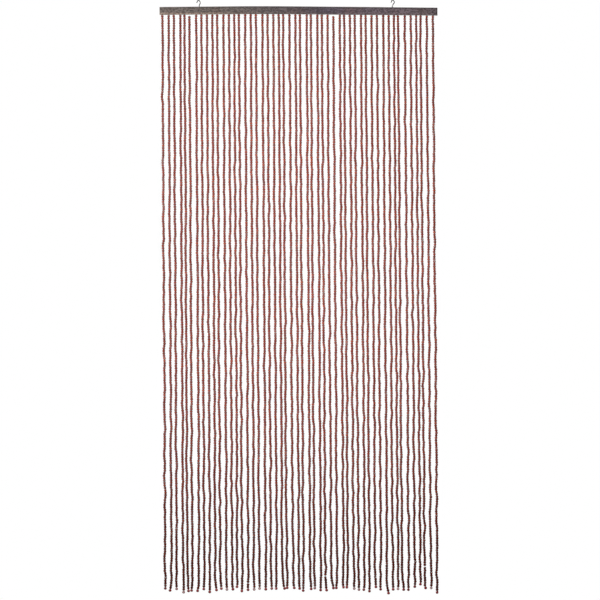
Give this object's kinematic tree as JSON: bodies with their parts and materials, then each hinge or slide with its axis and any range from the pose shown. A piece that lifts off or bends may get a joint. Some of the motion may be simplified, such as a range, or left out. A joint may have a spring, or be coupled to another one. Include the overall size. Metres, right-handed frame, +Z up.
{
  "type": "bead curtain with wooden rail",
  "caption": "Hanging door curtain of straight strands of small glossy wooden beads below a dark wooden rail with screw hooks.",
  "frame": {"origin": "centre of the rail's top face", "axes": "+X along the rail, to the right seen from the front; -Y towards the viewer; +Z up, out of the rail's top face, so the strands hang towards -Z"},
  "size_m": [0.9039, 0.012, 1.9276],
  "materials": {
    "rail_wood": "dark grey-brown stain, satin, faint straight grain along the rail",
    "bead_wood": "glossy red-brown lacquer, uneven from bead to bead",
    "hook_steel": "plain bright wire, slightly dulled",
    "string": "clear monofilament"
  },
  "bodies": {
    "root": {"rail": "rail_wood", "strands": "bead_wood", "hook_left": "hook_steel", "hook_right": "hook_steel"}
  },
  "joints": []
}
